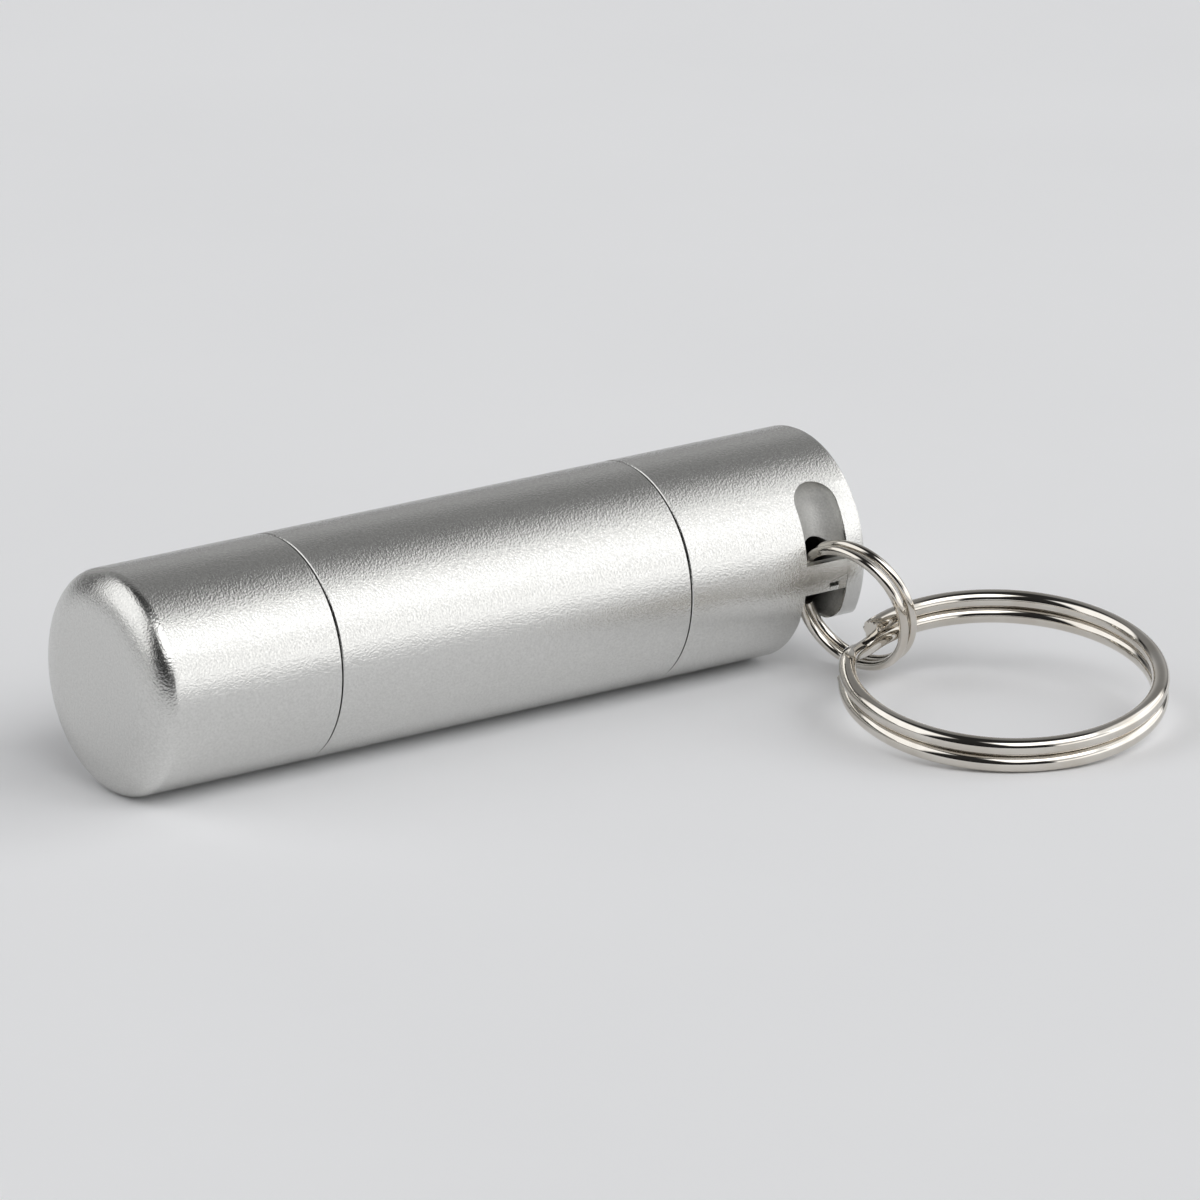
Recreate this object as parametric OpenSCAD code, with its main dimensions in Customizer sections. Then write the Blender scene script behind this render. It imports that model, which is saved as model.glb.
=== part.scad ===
// Pocket pill fob: an aluminium barrel with two pill chambers, closed at the front by a screw
// cap and at the back by a screwed tail that carries two split rings.
// The origin is the centre of the cap's flat end face. +X runs along the barrel to the tail,
// +Z is up. The fob lies on its side, so the surface under it is at z = -outer_d / 2.

/* [Barrel and caps] */
// Outer diameter of the cap, the barrel and the tail
outer_d = 17.2; // [17:0.1:19]
// Length of the front cap that shows
cap_len = 16.1; // [15:0.1:24]
// Length of the barrel between the two seams
barrel_len = 31.7; // [26:0.1:50]
// Length of the tail that shows
tail_len = 16.4; // [15:0.1:24]
// Radius of the rounded edge round the cap's end face
cap_edge_r = 2.8; // [1:0.1:4]
// Gap between two shoulders at a seam
seam_gap = 0.12; // [0.06:0.01:0.2]
// Chamfer on the edges beside a seam
seam_chamfer = 0.16; // [0.05:0.01:0.3]
// Chamfer on the tail's outer end
end_chamfer = 0.35; // [0.1:0.05:0.6]

/* [Chambers] */
// Diameter of the pill chambers in the barrel
chamber_d = 12; // [11:0.1:12.4]
// Diameter of the hollow inside the cap and the tail
hollow_d = 10.4; // [9:0.1:10.6]
// Thickness of the web between the two chambers
web_t = 2; // [1:0.1:4]
// Thickness of the cap's end wall
cap_end_t = 2.8; // [2:0.1:4]
// Thickness of the wall between the tail's hollow and its ring slot
tail_wall_t = 1.7; // [1:0.1:3]

/* [Screw threads] */
// Length of the hollow spigot on the cap and on the tail
spigot_len = 7.2; // [6.6:0.1:8]
// Advance of the thread in one turn
thread_pitch = 1.25; // [1.1:0.05:1.4]
// Diameter over the spigot's thread
thread_d = 13.8; // [13.6:0.05:13.9]
// Depth of the spigot's thread
thread_depth = 0.6; // [0.5:0.05:0.65]
// Number of thread turns on the spigot
thread_turns = 2.6; // [2:0.1:3]
// Clearance between the two threads, radially
thread_clear = 0.1; // [0.08:0.01:0.15]

/* [Seals] */
// Diameter of the smooth mouth in which the seal slides
mouth_d = 14.6; // [14.5:0.05:14.8]
// Depth of that smooth mouth
mouth_depth = 3; // [2.8:0.1:3.4]
// Diameter at the bottom of the seal's groove
groove_d = 12.4; // [12.2:0.1:12.6]
// Width of the seal's groove
groove_w = 1.5; // [1.4:0.05:1.7]
// Distance from the shoulder to the seal's groove
groove_x = 0.7; // [0.5:0.05:0.9]
// Clearance of the seal, drawn at its squeezed size, to the walls on both sides
seal_clear = 0.02; // [0.01:0.01:0.04]
// Clearance of the spigot's smooth lands in the mouth
land_clear = 0.08; // [0.05:0.01:0.12]

/* [Tail end] */
// Length of the end that is milled flat underneath
flat_len = 5.5; // [5:0.1:7]
// Height of that flat below the barrel's axis
flat_h = 4.8; // [4:0.1:6]
// Radius between the flat and the round outside
flat_edge_r = 2.2; // [1:0.1:3]
// Distance from the tail's end to the ring slot
slot_end = 1.7; // [1.4:0.1:2.5]
// Width of the ring slot along the barrel
slot_w = 3.9; // [3.6:0.1:4.5]
// Height of the slot's rounded top above the axis
slot_top = 6.35; // [6:0.05:6.8]
// Depth of the slot's shallow upper part
slot_depth = 1.75; // [1.3:0.05:2.2]
// Width of the deep part of the slot above the ring bar
passage_w = 3.2; // [2.8:0.1:3.6]
// Height of the deep part's rounded top above the axis
passage_top = 2.15; // [1.8:0.05:2.6]
// Distance from the axis to the floor of the slot's deep part
passage_floor = 3.4; // [2.5:0.1:4]

/* [Ring bar] */
// Height of the bar that the small ring hangs on
bar_h = 2.4; // [2:0.1:2.8]
// Thickness of the bar
bar_t = 1.05; // [0.9:0.05:1.3]
// Height of the bar's middle below the axis
bar_drop = 0.6; // [0.2:0.1:1]
// Radius of the bar's inner edges
bar_edge_r = 0.3; // [0.1:0.05:0.4]
// Hairline left at the bar's end by the tail's end disc
bar_gap = 0.04; // [0.02:0.01:0.08]

/* [Split rings] */
// Outer diameter of the small ring
link_d = 10.8; // [10.6:0.1:11]
// Wire thickness of the small ring
link_wire_d = 0.74; // [0.6:0.02:0.8]
// Outer diameter of the large ring
key_d = 25; // [22:0.5:30]
// Wire thickness of the large ring
key_wire_d = 1.34; // [1.2:0.02:1.5]
// Arc of a ring over which its wire crosses from one turn to the other
cross_arc = 35; // [25:1:60]
// Gap between the two turns of a ring
turn_gap = 0.05; // [0.03:0.01:0.1]
// Extra gap between the small ring's turns on the side away from their crossing
link_splay = 0.3; // [0:0.05:0.4]

/* [Hidden] */

$fn = 96;
eps = 0.01;
over = 1; // how far a cut runs past the surface that it opens
outer_r = outer_d / 2;
seam_1 = cap_len;
seam_2 = cap_len + barrel_len;
tail_end = seam_2 + tail_len;
chamber_len = (barrel_len - web_t) / 2;

// Seals
groove_r = groove_d / 2;
mouth_r = mouth_d / 2;
seal_wire_r = (mouth_r - groove_r) / 2 - seal_clear;
seal_mid_r = (mouth_r + groove_r) / 2;
seal_at = groove_x + groove_w / 2;

// Threads: the ridge on the spigot, and the ridge inside the barrel half a pitch further on
land_end = mouth_depth - seam_gap;
land_relief = 0.2;
tip_step = 0.3;
mouth_chamfer = 0.3;
ridge_root_r = thread_d / 2 - thread_depth;
ridge_root_w = thread_pitch * 0.56;
ridge_crest_w = thread_pitch * 0.2;
nut_bore_r = thread_d / 2 + thread_clear;
nut_crest_r = ridge_root_r + thread_clear;
nut_bore_len = spigot_len + seam_gap + 0.4;
ridge_lead = 0.25;
ridge_sink = 0.12;
ridge_start = land_end + ridge_root_w / 2 + ridge_lead;
nut_start = seam_gap + ridge_start + thread_pitch / 2;
nut_turns = thread_turns + 0.2;
ridge_steps = 30;
run_out = 60;
tip_angle = 4;

// Slot and ring bar, all measured from the tail's end
slot_x = tail_end - slot_end - slot_w / 2;
slot_floor_r = outer_r - slot_depth;
slot_break = 0.6; // how far the slot's round bottom reaches past the flat
slot_low = flat_h - slot_w / 2 + slot_break;
bar_top = bar_h / 2 - bar_drop;
bar_low = -bar_h / 2 - bar_drop;
bar_in = -(outer_r - bar_t);
ledge_w = 0.75;
ledge_h = 0.6;
ledge_sink = 0.2;
notch_w = 0.95;
notch_h = 0.34;
notch_t = 0.3;
notch_low = bar_low + 0.35;
notch_out = sqrt(pow(outer_r, 2) - pow(notch_low, 2)); // the outside's distance at that height

// Where the small ring lies: the turns of its axis from upright, the spin that sets where its
// wire crosses over, and its place in the slot, with its wire running behind the bar.
link_lean = 75;
link_turn = 16;
link_spin = 113;
link_ahead = 1.35; // from the slot's middle to the ring's middle, along the barrel
link_behind = 2.18; // from the bar's inner face to the middle of the wire behind it
link_hang = 2.05; // from the bar's middle down to the ring's middle
link_mid_r = (link_d - link_wire_d) / 2;
link_span = sqrt(1 - pow(sin(link_lean) * sin(link_turn), 2));
link_at = [slot_x + link_ahead, bar_in + link_behind - link_mid_r * link_span,
           -bar_drop - link_hang];

// The large ring's wire passes through the small ring at meet_at, and its front edge rests on
// the surface, which gives its lean.
meet_slack = 0.53; // from one wire to the other
meet_angle = -73.5; // round the small ring, before its spin
key_meet = 217.7; // round the large ring, before its spin
key_turn = -118.6;
key_spin = -101;
key_wire_r = key_wire_d / 2;
key_mid_r = key_d / 2 - key_wire_r;
key_stack = key_wire_r + turn_gap / 2;
key_reach = key_mid_r * (1 - cos(key_meet));
meet_r = link_d / 2 - link_wire_d - key_wire_r - meet_slack;
meet_at = link_at + leaned(on_circle(meet_r, meet_angle), link_lean, link_turn);
meet_level = meet_at[2] + outer_r - key_wire_r;
key_lean = asin(meet_level / norm([key_reach, key_stack])) - atan2(key_stack, key_reach);
key_at = meet_at - leaned(on_circle(key_mid_r, key_meet), key_lean, key_turn);
ring_sides = 12;
ring_step = 6;

// A point on a level circle, and a point leaned about Y and then turned about Z
function on_circle(r, a) = [r * cos(a), r * sin(a), 0];
function leaned(p, lean, turn) = let (x = p[0] * cos(lean) + p[2] * sin(lean))
    [x * cos(turn) - p[1] * sin(turn), x * sin(turn) + p[1] * cos(turn),
     p[2] * cos(lean) - p[0] * sin(lean)];

// Turns a shape drawn round Z so that it lies round +X, starting at x
module along_x(x) {
    translate([x, 0, 0]) rotate([0, 90, 0]) children();
}

// Half section of a plain turned length, with its two outer corners chamfered
module turned_half(len, r, near_c, far_c) {
    polygon([[0, 0], [r - near_c, 0], [r, near_c], [r, len - far_c], [r - far_c, len], [0, len]]);
}

// One screw ridge with a trapezoid section, its root sunk into the wall behind it.
// It fades into the root over run_out degrees at both ends.
module screw_ridge(root_r, crest_r, turns) {
    steps = ceil(turns * ridge_steps);
    side = crest_r > root_r ? 1 : -1;
    sunk_r = root_r - side * ridge_sink;
    function fade(a) = min(1, (a + tip_angle) / run_out, (turns * 360 - a + tip_angle) / run_out);
    function corner(r, w, a) = [r * cos(a), r * sin(a), a / 360 * thread_pitch + w];
    rings = [for (i = [0:steps]) let (a = turns * 360 * i / steps,
                                      top_r = root_r + (crest_r - root_r) * fade(a))
        [corner(sunk_r, -ridge_root_w / 2, a), corner(top_r, -ridge_crest_w / 2, a),
         corner(top_r, ridge_crest_w / 2, a), corner(sunk_r, ridge_root_w / 2, a)]];
    skin = [for (i = [0:steps - 1]) for (j = [0:3]) let (k = (j + 1) % 4)
        side > 0 ? [4 * i + j, 4 * i + k, 4 * i + 4 + k, 4 * i + 4 + j]
                 : [4 * i + 4 + j, 4 * i + 4 + k, 4 * i + k, 4 * i + j]];
    near = side > 0 ? [3, 2, 1, 0] : [0, 1, 2, 3];
    far = [for (j = [0:3]) 4 * steps + (side > 0 ? j : 3 - j)];
    polyhedron([for (ring = rings) each ring], concat([near], skin, [far]), convexity = 6);
}

// Spigot that stands on a shoulder at z = 0 and points up: lands, seal groove and thread
module spigot() {
    land_r = mouth_r - land_clear;
    groove_end = groove_x + groove_w;
    translate([0, 0, -over]) cylinder(h = groove_x + over, r = land_r);
    cylinder(h = spigot_len, r = groove_r);
    translate([0, 0, groove_end]) cylinder(h = land_end - land_relief - groove_end, r = land_r);
    translate([0, 0, groove_end]) cylinder(h = spigot_len - tip_step - groove_end, r = ridge_root_r);
    translate([0, 0, ridge_start]) screw_ridge(ridge_root_r, thread_d / 2, thread_turns);
}

// The mouth that takes a spigot, cut from z = 0 upwards
module mouth_cut() {
    translate([0, 0, -over]) cylinder(h = mouth_depth + over, r = mouth_r);
    translate([0, 0, -eps])
        cylinder(h = mouth_chamfer + eps, r1 = mouth_r + mouth_chamfer, r2 = mouth_r);
    cylinder(h = nut_bore_len, r = nut_bore_r);
}

module front_cap() {
    color([0.78, 0.78, 0.77]) {
        difference() {
            union() {
                along_x(0) rotate_extrude() union() {
                    square([outer_r - cap_edge_r, cap_len / 2]);
                    translate([outer_r - cap_edge_r, cap_edge_r]) intersection() {
                        circle(r = cap_edge_r);
                        translate([0, -cap_edge_r]) square(cap_edge_r);
                    }
                    translate([0, cap_edge_r])
                        turned_half(cap_len - seam_gap / 2 - cap_edge_r, outer_r, 0, seam_chamfer);
                }
                along_x(cap_len) translate([0, 0, -seam_gap / 2]) spigot();
            }
            along_x(cap_end_t) cylinder(h = cap_len + spigot_len, d = hollow_d);
        }
    }
}

module barrel() {
    color([0.8, 0.8, 0.79]) {
        difference() {
            along_x(seam_1 + seam_gap / 2) rotate_extrude()
                turned_half(barrel_len - seam_gap, outer_r, seam_chamfer, seam_chamfer);
            along_x(seam_1 + seam_gap / 2) mouth_cut();
            along_x(seam_1 + over) cylinder(h = chamber_len - over, d = chamber_d);
            mirrored_rear() mouth_cut();
            along_x(seam_2 - chamber_len) cylinder(h = chamber_len - over, d = chamber_d);
        }
        along_x(seam_1 - seam_gap / 2) translate([0, 0, nut_start])
            screw_ridge(nut_bore_r, nut_crest_r, nut_turns);
        mirrored_rear() translate([0, 0, nut_start - seam_gap])
            screw_ridge(nut_bore_r, nut_crest_r, nut_turns);
    }
}

// The rear mouth faces +X: the same cut, turned end for end about the barrel's far shoulder
module mirrored_rear() {
    translate([seam_2 - seam_gap / 2, 0, 0]) rotate([0, -90, 0]) children();
}

module seal() {
    rotate_extrude() translate([seal_mid_r, 0]) circle(r = seal_wire_r, $fn = 32);
}

module front_o_ring() {
    color([0.12, 0.12, 0.12]) along_x(seam_1 - seam_gap / 2 + seal_at) seal();
}

module rear_o_ring() {
    color([0.12, 0.12, 0.12]) along_x(seam_2 + seam_gap / 2 - seal_at) seal();
}

// Outline of the tail's end across the barrel, seen along +X: a circle with a flat below,
// blended by two arcs. Drawn in the plane whose first axis is Y and second is Z.
module flat_outline() {
    blend_y = sqrt(pow(outer_r - flat_edge_r, 2) - pow(flat_h - flat_edge_r, 2));
    blend_z = flat_edge_r - flat_h;
    reach = 2 * outer_r / norm([blend_y, blend_z]);
    difference() {
        circle(r = outer_r);
        translate([-2 * outer_r, -flat_h - 2 * outer_r]) square([4 * outer_r, 2 * outer_r]);
        for (side = [-1, 1]) difference() {
            polygon([[side * blend_y, blend_z], [side * blend_y * reach, blend_z * reach],
                     [side * 2 * outer_r, -2 * outer_r], [side * blend_y, -2 * outer_r]]);
            translate([side * blend_y, blend_z]) circle(r = flat_edge_r);
        }
    }
}

// A slot outline in the X-Z plane with a round top, extruded along Y between two planes
module slot_prism(width, low_z, top_z, y_near, y_far) {
    translate([slot_x, y_far, 0]) rotate([90, 0, 0]) linear_extrude(height = y_far - y_near) union() {
        translate([-width / 2, low_z]) square([width, top_z - width / 2 - low_z]);
        translate([0, top_z - width / 2]) circle(d = width);
    }
}

module ring_slot() {
    outside = -outer_r - over;
    difference() {
        slot_prism(slot_w, -slot_low, slot_top, outside, 0);
        along_x(slot_x - slot_w) cylinder(h = 2 * slot_w, r = slot_floor_r);
    }
    slot_prism(passage_w, -flat_h, passage_top, outside, -passage_floor);
    translate([slot_x - slot_w / 2, outside, -slot_low])
        cube([slot_w, -passage_floor - outside, slot_low + bar_low + bar_h / 2]);
    translate([slot_x, -passage_floor, -slot_low]) rotate([90, 0, 0])
        cylinder(h = -passage_floor - outside, d = slot_w);
}

module tail() {
    color([0.76, 0.76, 0.75]) {
        difference() {
            union() {
                along_x(seam_2 + seam_gap / 2) rotate_extrude()
                    turned_half(tail_len - flat_len - seam_gap / 2, outer_r, seam_chamfer, 0);
                intersection() {
                    translate([tail_end - flat_len - eps, 0, 0]) rotate([90, 0, 90])
                        linear_extrude(height = flat_len + eps) flat_outline();
                    along_x(tail_end - flat_len - eps) rotate_extrude()
                        turned_half(flat_len + eps, outer_r, 0, end_chamfer);
                }
                translate([seam_2 + seam_gap / 2, 0, 0]) rotate([0, -90, 0]) spigot();
            }
            along_x(seam_2 - spigot_len - over)
                cylinder(h = tail_len + spigot_len + over - slot_end - slot_w - tail_wall_t,
                         d = hollow_d);
            ring_slot();
        }
        intersection() {
            bar_ledge(0);
            along_x(tail_end - flat_len) cylinder(h = flat_len, r = outer_r);
        }
    }
}

// The small ledge of the end disc that the bar's lower corner rests on
module bar_ledge(grow) {
    ledge_x = tail_end - slot_end;
    translate([ledge_x - ledge_w - grow, -outer_r - over, bar_low - eps])
        cube([ledge_w + grow + ledge_sink, bar_t + over, ledge_h + grow]);
}

module ring_bar() {
    color([0.77, 0.77, 0.76]) {
        difference() {
            intersection() {
                along_x(slot_x - slot_w / 2) cylinder(h = slot_w - bar_gap, r = outer_r);
                translate([slot_x - slot_w, 0, 0]) rotate([90, 0, 90])
                    linear_extrude(height = 2 * slot_w) bar_outline();
            }
            bar_ledge(bar_gap);
            translate([tail_end - slot_end - ledge_w - notch_w, -outer_r - over, notch_low])
                cube([notch_w, over + outer_r - notch_out + notch_t, notch_h]);
        }
    }
}

// Section of the bar: flat inside with rounded edges, trimmed later to the round outside
module bar_outline() {
    difference() {
        translate([-outer_r - over, bar_low]) square([outer_r + over + bar_in, bar_h]);
        for (edge = [[bar_low, 1], [bar_top, -1]]) difference() {
            translate([bar_in - bar_edge_r, edge[0] + min(0, edge[1]) * bar_edge_r])
                square([2 * bar_edge_r, bar_edge_r]);
            translate([bar_in - bar_edge_r, edge[0] + edge[1] * bar_edge_r])
                circle(r = bar_edge_r, $fn = 32);
        }
    }
}

// A split ring: two turns of round wire side by side, crossing over once, cut where they meet
// the crossing. The turns stand apart by up to splay more on the far side.
module split_ring(ring_d, wire_d, splay) {
    wire_r = wire_d / 2;
    mid_r = ring_d / 2 - wire_r;
    total = 720 - cross_arc;
    steps = ceil(total / ring_step);
    function rise(a) = wire_r + turn_gap / 2 + splay / 4 * (1 - cos(a + cross_arc / 2));
    function crossed(a) = min(1, max(0, (a - 360 + cross_arc) / cross_arc));
    function level(a) = let (t = crossed(a)) rise(a) * (2 * t * t * (3 - 2 * t) - 1);
    rings = [for (i = [0:steps]) let (a = total * i / steps)
        [for (j = [0:ring_sides - 1]) let (b = 360 * j / ring_sides, r = mid_r + wire_r * cos(b))
            [r * cos(a), r * sin(a), level(a) + wire_r * sin(b)]]];
    skin = [for (i = [0:steps - 1]) for (j = [0:ring_sides - 1]) let (k = (j + 1) % ring_sides)
        [ring_sides * i + j, ring_sides * i + k,
         ring_sides * i + ring_sides + k, ring_sides * i + ring_sides + j]];
    near = [for (j = [0:ring_sides - 1]) ring_sides - 1 - j];
    far = [for (j = [0:ring_sides - 1]) ring_sides * steps + j];
    polyhedron([for (ring = rings) each ring], concat([near], skin, [far]), convexity = 8);
}

module link_ring() {
    color([0.72, 0.7, 0.66])
        translate(link_at) rotate([0, link_lean, link_turn]) rotate([0, 0, link_spin])
            split_ring(link_d, link_wire_d, link_splay);
}

module key_ring() {
    color([0.72, 0.7, 0.66])
        translate(key_at) rotate([0, key_lean, key_turn]) rotate([0, 0, key_spin])
            split_ring(key_d, key_wire_d, 0);
}

front_cap();
front_o_ring();
barrel();
rear_o_ring();
tail();
ring_bar();
link_ring();
key_ring();
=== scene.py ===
from math import asin, atan2, cos, degrees, hypot, pi, radians, sin, sqrt, tan

import bmesh
import bpy
from mathutils import Matrix, Vector


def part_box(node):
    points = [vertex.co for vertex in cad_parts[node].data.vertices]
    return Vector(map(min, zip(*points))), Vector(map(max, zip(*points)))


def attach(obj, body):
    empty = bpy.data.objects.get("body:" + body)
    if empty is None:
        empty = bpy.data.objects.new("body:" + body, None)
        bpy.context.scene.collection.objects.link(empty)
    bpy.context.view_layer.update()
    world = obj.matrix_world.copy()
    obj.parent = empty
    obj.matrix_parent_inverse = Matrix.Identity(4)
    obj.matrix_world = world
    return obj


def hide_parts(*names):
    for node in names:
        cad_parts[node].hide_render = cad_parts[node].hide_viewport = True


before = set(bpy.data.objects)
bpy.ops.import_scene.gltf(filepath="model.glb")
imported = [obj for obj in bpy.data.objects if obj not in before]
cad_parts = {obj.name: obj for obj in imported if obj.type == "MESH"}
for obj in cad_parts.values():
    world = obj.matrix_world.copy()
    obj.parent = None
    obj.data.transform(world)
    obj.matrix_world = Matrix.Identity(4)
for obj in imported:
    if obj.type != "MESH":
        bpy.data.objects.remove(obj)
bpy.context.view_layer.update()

mm = 0.001
near = 1e-7  # metres, below which two points are the same
noiseMost = (0.35, 0.65)  # most of a noise texture's values lie in here
noiseNearlyAll = (0.3, 0.7)

# sizes that several pieces share, in metres
body = {
    "seamGap": 0.12 * mm,
    "seamChamfer": 0.065 * mm,
    "around": 256,  # facets round a turned piece
    "hollowRadius": 5.2 * mm,
    "slotEnd": 1.7 * mm,  # from the tail's end to the ring slot
    "slotWidth": 3.9 * mm,
}
capLow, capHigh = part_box("front_cap")
barrelLow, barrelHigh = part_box("barrel")
tailLow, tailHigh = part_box("tail")
barLow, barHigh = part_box("ring_bar")
outerRadius = barrelHigh.z
floorLevel = -outerRadius
slotX = tailHigh.x - body["slotEnd"] - body["slotWidth"] / 2

# camera: a long lens from the front left, low over the table
camera = {
    "place": (-0.31879, -0.51387, 0.20353),
    "azimuth": -35.32,  # degrees, to the left of straight on
    "elevation": 18.06,
    "lens": 260.59,
    "sensor": 36,
    "sees": (0.05, 20),  # nearest and farthest, in metres
}


def placeCamera():
    left, down = radians(camera["azimuth"]), radians(camera["elevation"])
    ahead = Vector((-sin(left) * cos(down), cos(left) * cos(down), -sin(down)))
    shot = bpy.data.objects.new("shot", bpy.data.cameras.new("shot"))
    bpy.context.scene.collection.objects.link(shot)
    shot.location = camera["place"]
    shot.rotation_mode = "QUATERNION"
    shot.rotation_quaternion = ahead.to_track_quat("-Z", "Y")
    shot.data.lens = camera["lens"]
    shot.data.sensor_width = camera["sensor"]
    shot.data.clip_start, shot.data.clip_end = camera["sees"]
    bpy.context.scene.camera = shot


placeCamera()
print("camera placed")


# material helpers
def newMaterial(name):
    material = bpy.data.materials.new(name)
    material.use_nodes = True
    nodes, links = material.node_tree.nodes, material.node_tree.links
    return material, nodes, links, nodes["Principled BSDF"]


def objectCoords(nodes, links, scale=(1, 1, 1)):
    coords = nodes.new("ShaderNodeTexCoord")
    place = nodes.new("ShaderNodeMapping")
    place.inputs["Scale"].default_value = scale
    links.new(coords.outputs["Object"], place.inputs["Vector"])
    return place.outputs["Vector"]


def noiseNode(nodes, links, vector, scale, detail, rough=0.5):
    noise = nodes.new("ShaderNodeTexNoise")
    noise.inputs["Scale"].default_value = scale
    noise.inputs["Detail"].default_value = detail
    noise.inputs["Roughness"].default_value = rough
    links.new(vector, noise.inputs["Vector"])
    return noise.outputs["Fac"]


def ranged(nodes, links, value, fromLow, fromHigh, toLow, toHigh, smooth=False):
    node = nodes.new("ShaderNodeMapRange")
    if smooth:
        node.interpolation_type = "SMOOTHSTEP"
    links.new(value, node.inputs["Value"])
    numbers = {"From Min": fromLow, "From Max": fromHigh, "To Min": toLow, "To Max": toHigh}
    for socket, number in numbers.items():
        node.inputs[socket].default_value = number
    return node.outputs["Result"]


def maths(nodes, links, operation, first, second=None):
    node = nodes.new("ShaderNodeMath")
    node.operation = operation
    for socket, value in zip(node.inputs, (first, second)):
        if value is None:
            continue
        if isinstance(value, (int, float)):
            socket.default_value = value
        else:
            links.new(value, socket)
    return node.outputs["Value"]


def colourMix(nodes, links, amount, first, second):
    # each colour is four numbers or another node's output
    mix = nodes.new("ShaderNodeMix")
    mix.data_type = "RGBA"
    links.new(amount, mix.inputs["Factor"])
    for socket, colour in (("A", first), ("B", second)):
        if isinstance(colour, tuple):
            mix.inputs[socket].default_value = colour
        else:
            links.new(colour, mix.inputs[socket])
    return mix.outputs["Result"]


def bumpNode(nodes, links, height, distance, before=None):
    bump = nodes.new("ShaderNodeBump")
    bump.inputs["Strength"].default_value = 1
    bump.inputs["Distance"].default_value = distance
    links.new(height, bump.inputs["Height"])
    if before:
        links.new(before, bump.inputs["Normal"])
    return bump.outputs["Normal"]


# bead-blasted and clear anodised aluminium: a fine orange peel, never quite even
blast = {
    "pale": (0.73, 0.728, 0.708, 1),
    "dull": (0.61, 0.608, 0.592, 1),
    "cloud": (260, 3),  # each noise: scale a metre, detail, roughness
    "peel": (5800, 2, 0.55),
    "peelDepth": 0.03 * mm,
    "grit": (11000, 1),
    "gritDepth": 0.006 * mm,
    "rough": (0.21, 0.24),
}
# the ring slot is painted darker the deeper it is, as painted shade, and it is more matt there, where
# the blast hardly reached
slotShade = {
    # the painted shade's colour, deep inside the slot
    "paintedShade": (0.06, 0.055, 0.05, 1),
    "paintedShadeFrom": 7.5 * mm,  # from the axis
    "paintedShadeTo": 5.6 * mm,
    "matt": 0.38,  # added to the roughness
    "mattFrom": 8.5 * mm,  # from the axis
    "mattTo": 7.9 * mm,
    "margin": 0.02 * mm,  # past the slot's width
    "lowest": -4.75 * mm,  # just above the flat underneath
    "side": -3.3 * mm,  # just behind the slot's floor
}


def slotMasks(nodes, links):
    # how much painted shade darkens the aluminium, and how matt it is, both 0 outside the ring slot
    s = slotShade
    parts = nodes.new("ShaderNodeSeparateXYZ")
    links.new(objectCoords(nodes, links), parts.inputs["Vector"])
    x, y, z = (parts.outputs[axis] for axis in "XYZ")
    squares = [maths(nodes, links, "MULTIPLY", side, side) for side in (y, z)]
    radius = maths(nodes, links, "SQRT", maths(nodes, links, "ADD", *squares))
    # painted shade, strongest deepest in the slot and fading out towards the surface
    paintedShade = ranged(nodes, links, radius, s["paintedShadeTo"], s["paintedShadeFrom"], 1, 0)
    matt = ranged(nodes, links, radius, s["mattTo"], s["mattFrom"], s["matt"], 0)
    away = maths(nodes, links, "ABSOLUTE", maths(nodes, links, "SUBTRACT", x, slotX))
    inside = (maths(nodes, links, "LESS_THAN", away, body["slotWidth"] / 2 + s["margin"]),
              maths(nodes, links, "GREATER_THAN", z, s["lowest"]),
              maths(nodes, links, "LESS_THAN", y, s["side"]))
    for limit in inside:
        paintedShade = maths(nodes, links, "MULTIPLY", paintedShade, limit)
        matt = maths(nodes, links, "MULTIPLY", matt, limit)
    return paintedShade, matt


def blastedAluminium():
    material, nodes, links, shader = newMaterial("blastedAluminium")
    vector = objectCoords(nodes, links)
    cloud = noiseNode(nodes, links, vector, *blast["cloud"])
    peel = noiseNode(nodes, links, vector, *blast["peel"])
    grit = noiseNode(nodes, links, vector, *blast["grit"])
    paintedShade, matt = slotMasks(nodes, links)
    shader.inputs["Metallic"].default_value = 1
    tone = ranged(nodes, links, peel, *noiseNearlyAll, 0, 1)
    clean = colourMix(nodes, links, tone, blast["dull"], blast["pale"])
    # the slot's inside is mixed towards a dark colour, as painted shade
    links.new(colourMix(nodes, links, paintedShade, clean, slotShade["paintedShade"]),
              shader.inputs["Base Color"])
    rough = ranged(nodes, links, cloud, *noiseMost, *blast["rough"])
    links.new(maths(nodes, links, "ADD", rough, matt), shader.inputs["Roughness"])
    normal = bumpNode(nodes, links, peel, blast["peelDepth"])
    normal = bumpNode(nodes, links, grit, blast["gritDepth"], normal)
    links.new(normal, shader.inputs["Normal"])
    return material


# polished nickel plate on spring wire: warm grey, faintly wavy, with hair scratches
plate = {
    "pale": (0.74, 0.71, 0.66, 1),
    "warm": (0.66, 0.62, 0.56, 1),
    "cloud": (350, 3),
    "wave": (700, 2),
    "waveDepth": 0.004 * mm,
    "scratches": (2600, 4, 0.7),
    "scratchShape": (1, 1, 9),  # how much finer they are along each axis
    "scratchRange": (0.35, 0.7),
    "rough": (0.03, 0.07),
}


def polishedNickel():
    material, nodes, links, shader = newMaterial("polishedNickel")
    vector = objectCoords(nodes, links)
    cloud = noiseNode(nodes, links, vector, *plate["cloud"])
    wave = noiseNode(nodes, links, vector, *plate["wave"])
    drawn = objectCoords(nodes, links, plate["scratchShape"])
    hair = noiseNode(nodes, links, drawn, *plate["scratches"])
    shader.inputs["Metallic"].default_value = 1
    tone = ranged(nodes, links, cloud, *noiseMost, 0, 1)
    links.new(colourMix(nodes, links, tone, plate["warm"], plate["pale"]),
              shader.inputs["Base Color"])
    rough = ranged(nodes, links, hair, *plate["scratchRange"], *plate["rough"])
    links.new(rough, shader.inputs["Roughness"])
    links.new(bumpNode(nodes, links, wave, plate["waveDepth"]), shader.inputs["Normal"])
    return material


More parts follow.
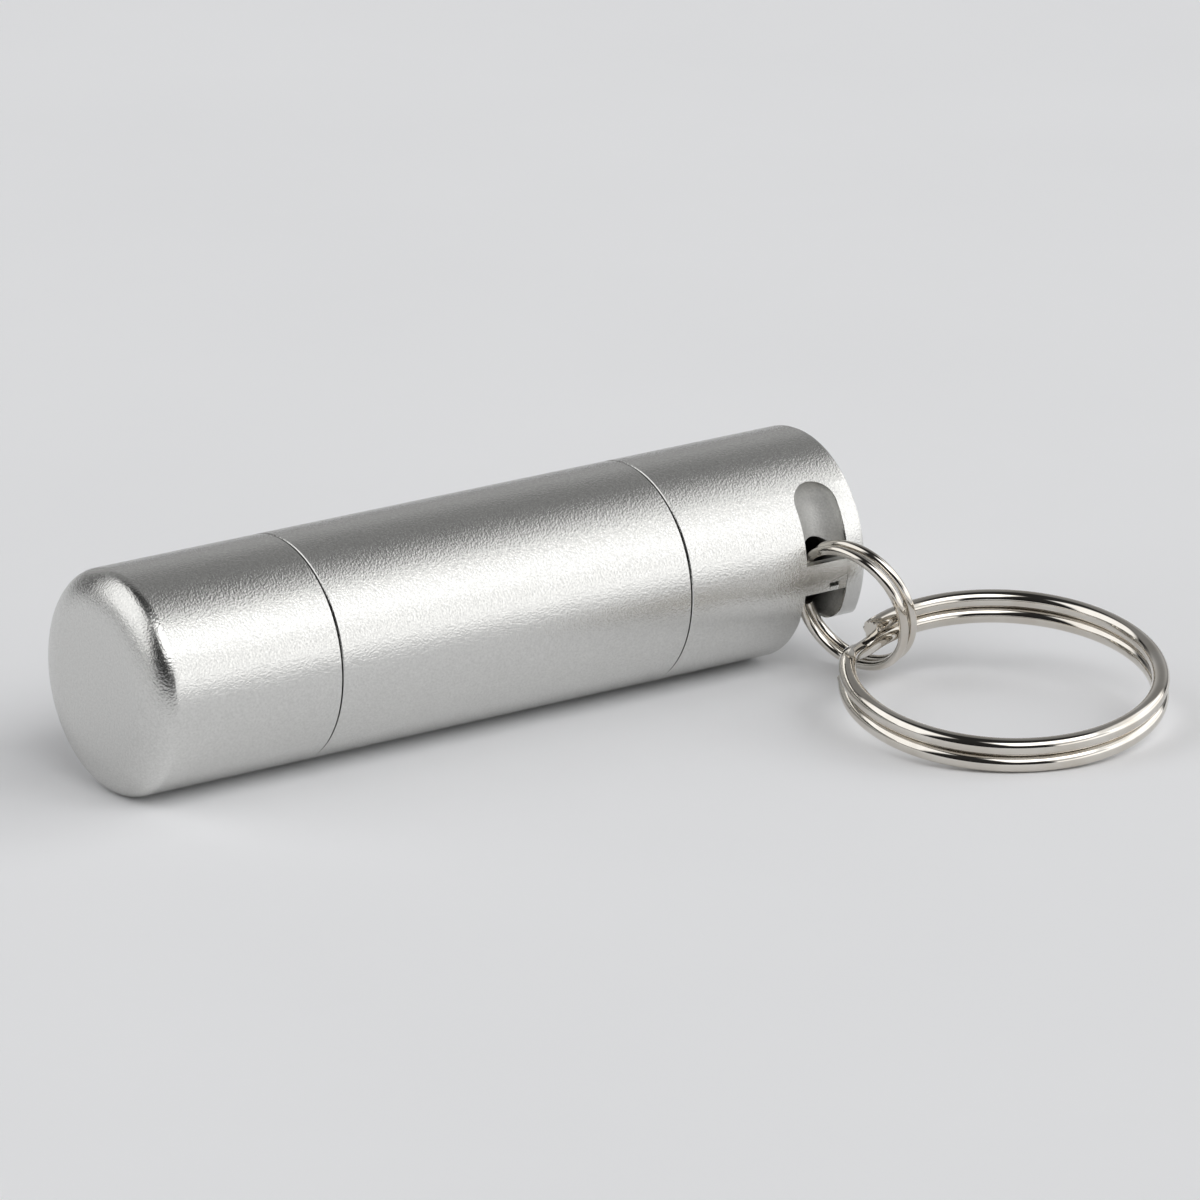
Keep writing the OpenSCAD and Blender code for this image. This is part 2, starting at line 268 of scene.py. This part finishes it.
# greased black rubber
seal = {
    "black": (0.018, 0.018, 0.019, 1),
    "dusty": (0.035, 0.035, 0.037, 1),
    "cloud": (900, 3),
    "grain": (9000, 2),
    "grainDepth": 0.004 * mm,
    "rough": (0.28, 0.45),
}


def sealRubber():
    material, nodes, links, shader = newMaterial("sealRubber")
    vector = objectCoords(nodes, links)
    cloud = noiseNode(nodes, links, vector, *seal["cloud"])
    grain = noiseNode(nodes, links, vector, *seal["grain"])
    tone = ranged(nodes, links, cloud, *noiseMost, 0, 1)
    links.new(colourMix(nodes, links, tone, seal["black"], seal["dusty"]),
              shader.inputs["Base Color"])
    rough = ranged(nodes, links, cloud, *noiseMost, *seal["rough"])
    links.new(rough, shader.inputs["Roughness"])
    links.new(bumpNode(nodes, links, grain, seal["grainDepth"]), shader.inputs["Normal"])
    return material


aluminium, nickel, rubber = blastedAluminium(), polishedNickel(), sealRubber()
print("materials made")


# mesh helpers
def keepMesh(bm, name):
    bmesh.ops.recalc_face_normals(bm, faces=bm.faces[:])
    mesh = bpy.data.meshes.new(name)
    bm.to_mesh(mesh)
    bm.free()
    piece = bpy.data.objects.new(name, mesh)
    bpy.context.scene.collection.objects.link(piece)
    return piece


def finishPiece(piece, material, rideOn, node, sharpAngle=32):
    # smooth shading with crisp edges, then what the frame needs to know
    for face in piece.data.polygons:
        face.use_smooth = True
    piece.data.set_sharp_from_angle(angle=radians(sharpAngle))
    even = piece.modifiers.new("evenShading", "WEIGHTED_NORMAL")
    even.keep_sharp = True
    piece.data.materials.clear()
    piece.data.materials.append(material)
    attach(piece, rideOn)
    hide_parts(node)


def bevelEdges(bm, edges, size, steps):
    bmesh.ops.bevel(bm, geom=edges, offset=size, offset_type="OFFSET", segments=steps,
                    profile=0.5, affect="EDGES", material=-1, clamp_overlap=True)


def turned(profile, rounds):
    # a chain of (x, radius) corners spun round the X axis, then the named corners are rounded
    bm = bmesh.new()
    chain = [bm.verts.new((x, 0, r)) for x, r in profile]
    links = [bm.edges.new(pair) for pair in zip(chain, chain[1:])]
    bmesh.ops.spin(bm, geom=chain + links, cent=(0, 0, 0), axis=(1, 0, 0), dvec=(0, 0, 0),
                   angle=2 * pi, steps=body["around"], use_merge=True, use_duplicate=False)
    bmesh.ops.remove_doubles(bm, verts=bm.verts[:], dist=near)
    for corner, size, steps in rounds:
        x, r = profile[corner]
        ring = [e for e in bm.edges if all(
            abs(v.co.x - x) < near and abs(hypot(v.co.y, v.co.z) - r) < near for v in e.verts)]
        bevelEdges(bm, ring, size, steps)
    return bm


def circleAt(centre, radius, sides, turn, filled=False):
    # a flat circle turned about X by an angle, then moved to its centre
    bm = bmesh.new()
    bmesh.ops.create_circle(bm, cap_ends=filled, segments=sides, radius=radius)
    stand = Matrix.Rotation(turn, 3, "X")
    bmesh.ops.rotate(bm, matrix=stand, cent=(0, 0, 0), verts=bm.verts[:])
    bmesh.ops.translate(bm, vec=centre, verts=bm.verts[:])
    return bm


def applyModifiers(piece):
    bpy.context.view_layer.update()
    graph = bpy.context.evaluated_depsgraph_get()
    made = bpy.data.meshes.new_from_object(piece.evaluated_get(graph))
    piece.modifiers.clear()
    piece.data = made


def cutAway(piece, cutters):
    # takes each cutter out of the piece, then deletes the cutters
    for cutter in cutters:
        cut = piece.modifiers.new("cut", "BOOLEAN")
        cut.operation = "DIFFERENCE"
        cut.solver = "EXACT"
        cut.object = cutter
    applyModifiers(piece)
    for cutter in cutters:
        bpy.data.objects.remove(cutter)


def block(low, high, name="block"):
    bm = bmesh.new()
    bmesh.ops.create_cube(bm, size=1)
    size = [b - a for a, b in zip(low, high)]
    bmesh.ops.scale(bm, vec=size, verts=bm.verts[:])
    bmesh.ops.translate(bm, vec=[(a + b) / 2 for a, b in zip(low, high)], verts=bm.verts[:])
    return keepMesh(bm, name)


def prism(outline, along, reach, name="prism"):
    # a closed outline of points, drawn out by the vector reach from the offset along
    bm = bmesh.new()
    corners = [bm.verts.new(point) for point in outline]
    flat = bm.faces.new(corners)
    drawn = bmesh.ops.extrude_face_region(bm, geom=[flat])
    moved = [part for part in drawn["geom"] if isinstance(part, bmesh.types.BMVert)]
    bmesh.ops.translate(bm, vec=reach, verts=moved)
    bmesh.ops.translate(bm, vec=along, verts=bm.verts[:])
    return keepMesh(bm, name)


def arc(centre, radius, fromAngle, toAngle, steps):
    # points on an arc in a plane, angles in degrees
    turns = [radians(fromAngle + (toAngle - fromAngle) * i / steps) for i in range(steps + 1)]
    return [(centre[0] + radius * cos(a), centre[1] + radius * sin(a)) for a in turns]


# screw threads, on the spigots and in the barrel's two mouths
thread = {
    "pitch": 1.25 * mm,
    "rootWidth": 0.7 * mm,
    "crestWidth": 0.25 * mm,
    "sink": 0.12 * mm,  # how deep the ridge's foot stands in the wall
    "runOut": 60,  # degrees over which its ends fade away
    "leastRise": 0.05,  # share of the height left at the very ends
    "stepsPerTurn": 72,
}


def addRidge(bm, startX, way, rootRadius, crestRadius, turns):
    # one helical ridge: its section is spun forward along X, then its two ends fade to the root
    t = thread
    outward = 1 if crestRadius > rootRadius else -1
    foot = rootRadius - outward * t["sink"]
    section = [bm.verts.new((startX + way * x, 0, r)) for x, r in (
        (-t["rootWidth"] / 2, foot), (-t["crestWidth"] / 2, crestRadius),
        (t["crestWidth"] / 2, crestRadius), (t["rootWidth"] / 2, foot))]
    face = bm.faces.new(section)
    steps = round(turns * t["stepsPerTurn"])
    known = set(bm.verts) - set(section)
    bmesh.ops.spin(bm, geom=[face] + face.edges[:] + section, cent=(0, 0, 0), axis=(way, 0, 0),
                   dvec=(way * turns * t["pitch"] / steps, 0, 0), angle=turns * 2 * pi, steps=steps)
    for v in bm.verts:
        if v in known or abs(hypot(v.co.y, v.co.z) - crestRadius) > 10 * near:
            continue
        done = abs(v.co.x - startX) / t["pitch"] * 360
        fade = max(t["leastRise"], min(1, done / t["runOut"], (turns * 360 - done) / t["runOut"]))
        radius = rootRadius + (crestRadius - rootRadius) * fade
        v.co.y *= radius / crestRadius
        v.co.z *= radius / crestRadius


# the hollow spigot that the cap and the tail both have
spigot = {
    "length": 7.2 * mm,
    "landRadius": 7.22 * mm,
    "landEnd": 2.68 * mm,
    "grooveRadius": 6.2 * mm,
    "grooveStart": 0.7 * mm,
    "grooveEnd": 2.2 * mm,
    "coreRadius": 6.3 * mm,
    "tipStep": 0.3 * mm,
    "crestRadius": 6.9 * mm,
    "threadStart": 3.48 * mm,
    "threadTurns": 2.6,
}


def spigotCorners(shoulder, way):
    s = spigot
    tipStart = s["length"] - s["tipStep"]
    corners = ((0, s["landRadius"]), (s["grooveStart"], s["landRadius"]),
               (s["grooveStart"], s["grooveRadius"]), (s["grooveEnd"], s["grooveRadius"]),
               (s["grooveEnd"], s["landRadius"]), (s["landEnd"], s["landRadius"]),
               (s["landEnd"], s["coreRadius"]), (tipStart, s["coreRadius"]),
               (tipStart, s["grooveRadius"]), (s["length"], s["grooveRadius"]),
               (s["length"], body["hollowRadius"]))
    return [(shoulder + way * along, r) for along, r in corners]


def addSpigotThread(bm, shoulder, way):
    s = spigot
    addRidge(bm, shoulder + way * s["threadStart"], way, s["coreRadius"], s["crestRadius"],
             s["threadTurns"])


# front cap
cap = {
    "edgeAlong": 2 * mm,  # the rounded edge is longer across the face than along the side
    "edgeAcross": 3.6 * mm,
    "edgeSteps": 24,
    "endWall": 2.8 * mm,
}


def makeFrontCap():
    faceX, shoulder = capLow.x, barrelLow.x - body["seamGap"]
    turns = [pi / 2 * i / cap["edgeSteps"] for i in range(cap["edgeSteps"] + 1)]
    edge = [(faceX + cap["edgeAlong"] * (1 - cos(a)), outerRadius - cap["edgeAcross"] * (1 - sin(a)))
            for a in turns]
    profile = [(faceX, 0)] + edge + [(shoulder, outerRadius)]
    rim = len(profile) - 1
    profile += spigotCorners(shoulder, 1)
    profile += [(faceX + cap["endWall"], body["hollowRadius"]), (faceX + cap["endWall"], 0)]
    bm = turned(profile, [(rim, body["seamChamfer"], 1)])
    addSpigotThread(bm, shoulder, 1)
    piece = keepMesh(bm, "frontCap")
    finishPiece(piece, aluminium, "front_cap", "front_cap")


makeFrontCap()
print("front cap made")

# barrel
barrel = {
    "mouthRadius": 7.3 * mm,
    "mouthDepth": 3 * mm,
    "mouthChamfer": 0.3 * mm,
    "nutRadius": 7 * mm,
    "nutDepth": 7.72 * mm,
    "nutCrest": 6.4 * mm,
    "nutTurns": 2.8,
    "nutStart": 4.105 * mm,
    "chamberRadius": 6 * mm,
    "web": 2 * mm,
}


def makeBarrel():
    b = barrel
    nearX, farX = barrelLow.x, barrelHigh.x
    webDepth = (farX - nearX - b["web"]) / 2
    half = ((webDepth, 0), (webDepth, b["chamberRadius"]), (b["nutDepth"], b["chamberRadius"]),
            (b["nutDepth"], b["nutRadius"]), (b["mouthDepth"], b["nutRadius"]),
            (b["mouthDepth"], b["mouthRadius"]), (0, b["mouthRadius"]), (0, outerRadius))
    profile = [(nearX + x, r) for x, r in half] + [(farX - x, r) for x, r in half[::-1]]
    mouth, rim, farRim, farMouth = range(len(half) - 2, len(half) + 2)
    rounds = [(corner, body["seamChamfer"], 1) for corner in (rim, farRim)]
    rounds += [(corner, b["mouthChamfer"], 1) for corner in (mouth, farMouth)]
    bm = turned(profile, rounds)
    for start, way in ((nearX + b["nutStart"], 1), (farX - b["nutStart"], -1)):
        addRidge(bm, start, way, b["nutRadius"], b["nutCrest"], b["nutTurns"])
    piece = keepMesh(bm, "barrelBody")
    finishPiece(piece, aluminium, "barrel", "barrel")


makeBarrel()
print("barrel made")

# tail: turned, then milled flat underneath and slotted for the small ring
tail = {
    "endChamfer": 0.35 * mm,
    "flatLength": 5.5 * mm,
    "flatDepth": 4.8 * mm,  # below the axis
    "flatRound": 2.2 * mm,
    "flatRoundSteps": 12,
    "ballEnd": 34.8,  # degrees above the axis, where the ball-nosed cutter stops
    "ballSides": 64,
    "ballShrink": 0.999,  # so that the ball's faces don't coincide with its path's
    "pathSteps": 48,
    "slotLow": 3.45 * mm,  # where the slot's round bottom is centred, below the axis
    "slotDepth": 1.75 * mm,
    "passageWidth": 3.2 * mm,
    "passageTop": 2.15 * mm,
    "passageFloor": 3.4 * mm,  # from the axis
    "archSteps": 32,  # facets of a half round
    "wall": 1.7 * mm,
    "over": 1 * mm,  # how far a cutter runs past the surface
}


def flatCutter():
    # everything below the flat and outside its two round blends, as a prism along X
    t = tail
    reach, level = 2 * outerRadius, t["flatRound"] - t["flatDepth"]
    side = sqrt((outerRadius - t["flatRound"]) ** 2 - level ** 2)
    end = degrees(atan2(level, side))
    right = arc((side, level), t["flatRound"], -90, end, t["flatRoundSteps"])
    tip = (reach * cos(radians(end)), reach * sin(radians(end)))
    half = right + [tip, (reach, -reach)]
    outline = [(0, y, z) for y, z in half] + [(0, -y, z) for y, z in half[::-1]]
    return prism(outline, (tailHigh.x - t["flatLength"], 0, 0), (t["flatLength"] + t["over"], 0, 0))


def slotCutter(width, low, top, farY):
    # upright slot with a round top, cut in from the -Y side
    start = -outerRadius - tail["over"]
    arch = arc((slotX, top - width / 2), width / 2, 0, 180, tail["archSteps"])
    corners = arch + [(slotX - width / 2, low), (slotX + width / 2, low)]
    outline = [(x, 0, z) for x, z in corners]
    return prism(outline, (0, start, 0), (0, farY - start, 0))


def troughCutters():
    # the slot is milled round the barrel with a ball-nosed cutter: its path, and the ball at its end
    t = tail
    ball = body["slotWidth"] / 2
    away = outerRadius - t["slotDepth"] + ball
    start, end = radians(t["ballEnd"]), -asin(t["slotLow"] / outerRadius)
    centre = Vector((slotX, -away * cos(start), away * sin(start)))
    path = circleAt(centre, ball, t["ballSides"], -start, filled=True)
    bmesh.ops.spin(path, geom=path.faces[:] + path.edges[:] + path.verts[:], cent=(0, 0, 0),
                   axis=(1, 0, 0), dvec=(0, 0, 0), angle=start - end, steps=t["pathSteps"])
    tip = bmesh.new()
    bmesh.ops.create_uvsphere(tip, u_segments=t["ballSides"], v_segments=t["ballSides"] // 2,
                              radius=ball * t["ballShrink"])
    bmesh.ops.translate(tip, vec=centre, verts=tip.verts[:])
    return [keepMesh(path, "path"), keepMesh(tip, "tip")]


def roundCutter(x, z, radius, farY):
    start = -outerRadius - tail["over"]
    ring = arc((x, z), radius, 0, 360, 3 * tail["archSteps"])[:-1]
    return prism([(px, 0, pz) for px, pz in ring], (0, start, 0), (0, farY - start, 0))


def makeTail():
    t = tail
    shoulder, endX = barrelHigh.x + body["seamGap"], tailHigh.x
    hollowEnd = endX - body["slotEnd"] - body["slotWidth"] - t["wall"]
    profile = [(endX, 0), (endX, outerRadius), (shoulder, outerRadius)]
    profile += spigotCorners(shoulder, -1)
    profile += [(hollowEnd, body["hollowRadius"]), (hollowEnd, 0)]
    bm = turned(profile, [(1, t["endChamfer"], 2), (2, body["seamChamfer"], 1)])
    piece = keepMesh(bm, "tailBody")
    passage = slotCutter(t["passageWidth"], -t["flatDepth"], t["passageTop"], -t["passageFloor"])
    barMiddle, half = (barLow.z + barHigh.z) / 2, body["slotWidth"] / 2
    lower = block((slotX - half, -outerRadius - t["over"], -t["slotLow"]),
                  (slotX + half, -t["passageFloor"], barMiddle))
    bottom = roundCutter(slotX, -t["slotLow"], half, -t["passageFloor"])
    cutAway(piece, [flatCutter(), *troughCutters(), passage, lower, bottom])
    threaded = bmesh.new()  # the thread comes last, so that no cut goes through it
    threaded.from_mesh(piece.data)
    addSpigotThread(threaded, shoulder, -1)
    bmesh.ops.recalc_face_normals(threaded, faces=threaded.faces[:])
    threaded.to_mesh(piece.data)
    threaded.free()
    finishPiece(piece, aluminium, "tail", "tail")


makeTail()
print("tail made")

# ring bar: let into the slot, with a small recess at its right end
bar = {
    "faceSteps": 10,  # facets of the round outer face
    "edgeRound": 0.3 * mm,
    "edgeSteps": 6,
    "ledgeWidth": 0.75 * mm,
    "ledgeHeight": 0.6 * mm,
    "notchWidth": 0.95 * mm,
    "notchHeight": 0.34 * mm,
    "notchDepth": 0.8 * mm,
    "notchRise": 0.35 * mm,  # above the bar's lower edge
    "hairline": 0.04 * mm,
    "footGrip": 0.05 * mm,  # how far the foot is let into the tail's end
    "over": 0.1 * mm,
}


def makeRingBar():
    b = bar
    lowZ, highZ, inY = barLow.z, barHigh.z, barHigh.y
    rises = [lowZ + (highZ - lowZ) * i / b["faceSteps"] for i in range(b["faceSteps"] + 1)]
    outer = [(-sqrt(outerRadius ** 2 - z * z), z) for z in rises]
    edge, steps = b["edgeRound"], b["edgeSteps"]
    inner = arc((inY - edge, highZ - edge), edge, 90, 0, steps)
    inner += arc((inY - edge, lowZ + edge), edge, 0, -90, steps)
    outline = [(0, y, z) for y, z in outer + inner]
    piece = prism(outline, (barLow.x, 0, 0), (barHigh.x - barLow.x, 0, 0), "ringBar")
    outside = -outerRadius - tail["over"]
    endX = tailHigh.x - body["slotEnd"]
    ledge = block((endX - b["ledgeWidth"] - b["hairline"], outside, lowZ - b["over"]),
                  (endX + b["over"], 0, lowZ + b["ledgeHeight"] + b["hairline"]))
    notchZ = lowZ + b["notchRise"]
    surface = -sqrt(outerRadius ** 2 - notchZ ** 2)
    notchX = endX - b["ledgeWidth"] - b["notchWidth"]
    notch = block((notchX, outside, notchZ),
                  (notchX + b["notchWidth"], surface + b["notchDepth"], notchZ + b["notchHeight"]))
    cutAway(piece, [ledge, notch])
    finishPiece(piece, aluminium, "tail", "ring_bar")
    foot = block((endX - b["ledgeWidth"], -sqrt(outerRadius ** 2 - lowZ ** 2), lowZ),
                 (endX + b["footGrip"], inY, lowZ + b["ledgeHeight"]), "barFoot")
    foot.data.materials.append(aluminium)
    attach(foot, "tail")


makeRingBar()
print("ring bar made")

# split rings: two turns of round wire, crossing over once. Turns in degrees, places in metres.
smallRing = {
    "node": "link_ring",
    "outer": 10.8 * mm,
    "wire": 0.74 * mm,
    "splay": 0.3 * mm,  # extra gap between the turns, away from the crossing
    "crossing": 35,  # arc over which the wire changes from one turn to the other
    "endBreak": 0.05 * mm,
    "middle": (61.9 * mm, -10.2184 * mm, -2.65 * mm),
    "lean": 75,
    "turn": 16,
    "spin": 113,
}
largeRing = {
    "node": "key_ring",
    "outer": 24.97 * mm,
    "wire": 1.34 * mm,
    "splay": 0,
    "crossing": 29,
    "endBreak": 0.22 * mm,
    "middle": (64.9968 * mm, -24.8959 * mm, -5.2098 * mm),
    "lean": 9.908,
    "turn": -118.6,
    "spin": -101,
}
splitRing = {
    "turnGap": 0.05 * mm,
    "step": 2.5,
    "sides": 36,
    "breakSteps": 6,  # facets of the rounded edge round a wire's end
    "sharpAngle": 40,
}


def wireLevel(ring, angle):
    # height of the wire's middle along the ring's axis
    crossing = ring["crossing"]
    rise = (ring["wire"] + splitRing["turnGap"]) / 2
    rise += ring["splay"] / 4 * (1 - cos(radians(angle + crossing / 2)))
    done = min(1, max(0, (angle - 360 + crossing) / crossing))
    return rise * (2 * done * done * (3 - 2 * done) - 1)


def makeSplitRing(ring, name):
    s = splitRing
    wireRadius = ring["wire"] / 2
    total = 720 - ring["crossing"]
    steps = round(total / s["step"])
    lift = 10 * mm  # the wire is spun as a tall helix, so that a point's height tells its turn
    bm = circleAt((ring["outer"] / 2 - wireRadius, 0, 0), wireRadius, s["sides"], pi / 2)
    bmesh.ops.spin(bm, geom=bm.verts[:] + bm.edges[:], cent=(0, 0, 0), axis=(0, 0, 1),
                   dvec=(0, 0, lift), angle=radians(total), steps=steps)
    ends = [e for e in bm.edges if e.is_boundary]
    bmesh.ops.edgeloop_fill(bm, edges=ends)
    for v in bm.verts:
        step = round(v.co.z / lift)
        v.co.z += wireLevel(ring, total * step / steps) - step * lift
    bevelEdges(bm, ends, ring["endBreak"], s["breakSteps"])
    turn, lean, spin = (Matrix.Rotation(radians(ring[key]), 3, axis) for key, axis in (
        ("turn", "Z"), ("lean", "Y"), ("spin", "Z")))
    bmesh.ops.rotate(bm, matrix=turn @ lean @ spin, cent=(0, 0, 0), verts=bm.verts[:])
    bmesh.ops.translate(bm, vec=ring["middle"], verts=bm.verts[:])
    piece = keepMesh(bm, name)
    finishPiece(piece, nickel, ring["node"], ring["node"], s["sharpAngle"])


makeSplitRing(smallRing, "smallRing")
makeSplitRing(largeRing, "largeRing")
print("split rings made")

# the two rubber seals
oRing = {
    "middleRadius": 6.75 * mm,
    "wireRadius": 0.53 * mm,
    "sides": 32,
    "around": 128,
}


def makeSeal(name, node, rideOn):
    low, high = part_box(node)
    middleX = (low.x + high.x) / 2
    centre = (middleX, 0, oRing["middleRadius"])
    bm = circleAt(centre, oRing["wireRadius"], oRing["sides"], pi / 2)
    bmesh.ops.spin(bm, geom=bm.verts[:] + bm.edges[:], cent=(middleX, 0, 0), axis=(1, 0, 0),
                   dvec=(0, 0, 0), angle=2 * pi, steps=oRing["around"], use_merge=True)
    bmesh.ops.remove_doubles(bm, verts=bm.verts[:], dist=near)
    piece = keepMesh(bm, name)
    finishPiece(piece, rubber, rideOn, node)


makeSeal("frontSeal", "front_o_ring", "front_seal")
makeSeal("rearSeal", "rear_o_ring", "rear_seal")
print("seals made")

# pale table top
table = {
    "size": 6,
    "colour": (0.91, 0.915, 0.93, 1),
    "shade": (0.895, 0.90, 0.915, 1),
    "cloud": (25, 4),
    "rough": 0.9,
}


def paleTable():
    material, nodes, links, shader = newMaterial("paleTable")
    vector = objectCoords(nodes, links)
    cloud = noiseNode(nodes, links, vector, *table["cloud"])
    tone = ranged(nodes, links, cloud, *noiseNearlyAll, 0, 1)
    links.new(colourMix(nodes, links, tone, table["shade"], table["colour"]),
              shader.inputs["Base Color"])
    shader.inputs["Roughness"].default_value = table["rough"]
    return material


def makeTable():
    bm = bmesh.new()
    bmesh.ops.create_grid(bm, x_segments=1, y_segments=1, size=table["size"] / 2)
    bmesh.ops.translate(bm, vec=(0, 0, floorLevel), verts=bm.verts[:])
    piece = keepMesh(bm, "tableTop")
    piece.data.materials.append(paleTable())


makeTable()

# the studio's light, painted on the world: soft boxes in a dim room.
# Azimuth counts from +Y towards +X and elevation from the table, in degrees. Wide and high are
# half angles, soft is how far the edge fades as a share of the distance, light is the strength.
room = {
    "ceiling": 0.03,
    "ceilingFrom": 0.9,  # height of the view's direction at which the ceiling is reached
    "side": 0.02,
    "boxFront": 0.02,  # a box fades out within this, so that it doesn't shine behind as well
    "leastDepth": 0.001,  # keeps the division away from 0
}
softBoxes = {
    "lowFront": {"azimuth": 133, "elevation": 8, "wide": 49, "high": 9, "soft": 0.1, "light": 1.5},
    "right": {"azimuth": 112, "elevation": 26, "wide": 27, "high": 10, "soft": 0.1, "light": 1.5},
    "front": {"azimuth": 160, "elevation": 26, "wide": 22, "high": 10, "soft": 0.1, "light": 0.7},
    "highRight": {"azimuth": 121, "elevation": 47, "wide": 30, "high": 12, "soft": 0.1, "light": 1.03},
    "top": {"azimuth": 182, "elevation": 50, "wide": 24, "high": 16, "soft": 0.12, "light": 2.6},
    "left": {"azimuth": -62, "elevation": 34, "wide": 29, "high": 28, "soft": 0.1, "light": 1.3},
    "lowBack": {"azimuth": 30, "elevation": 10, "wide": 45, "high": 18, "soft": 0.3, "light": 0.3},
    "highBack": {"azimuth": 48, "elevation": 42, "wide": 48, "high": 27, "soft": 0.2, "light": 0.22},
}


def dotNode(nodes, links, vector, fixed):
    node = nodes.new("ShaderNodeVectorMath")
    node.operation = "DOT_PRODUCT"
    links.new(vector, node.inputs[0])
    node.inputs[1].default_value = fixed
    return node.outputs["Value"]


def boxLight(nodes, links, sky, box):
    # a rectangle seen in perspective from the object, with soft edges
    turn = Matrix.Rotation(-radians(box["azimuth"]), 3, "Z")
    turn = turn @ Matrix.Rotation(radians(box["elevation"]), 3, "X")
    ahead = dotNode(nodes, links, sky, turn @ Vector((0, 1, 0)))
    depth = maths(nodes, links, "MAXIMUM", ahead, room["leastDepth"])
    light = ranged(nodes, links, ahead, 0, room["boxFront"], 0, box["light"])
    for axis, half in (((1, 0, 0), "wide"), ((0, 0, 1), "high")):
        across = dotNode(nodes, links, sky, turn @ Vector(axis))
        away = maths(nodes, links, "ABSOLUTE", maths(nodes, links, "DIVIDE", across, depth))
        edge = tan(radians(box[half]))
        mask = ranged(nodes, links, away, edge - box["soft"], edge + box["soft"], 1, 0, True)
        light = maths(nodes, links, "MULTIPLY", light, mask)
    return light


def lightRoom():
    world = bpy.data.worlds.new("studio")
    bpy.context.scene.world = world
    world.use_nodes = True
    nodes, links = world.node_tree.nodes, world.node_tree.links
    sky = nodes.new("ShaderNodeTexCoord").outputs["Generated"]
    height = dotNode(nodes, links, sky, (0, 0, 1))
    light = ranged(nodes, links, height, 0, room["ceilingFrom"], room["side"], room["ceiling"], True)
    for box in softBoxes.values():
        light = maths(nodes, links, "ADD", light, boxLight(nodes, links, sky, box))
    air = nodes["Background"]
    air.inputs["Color"].default_value = (1, 1, 1, 1)
    links.new(light, air.inputs["Strength"])
    bpy.context.scene.view_settings.view_transform = "Standard"


lightRoom()
print("studio lit")
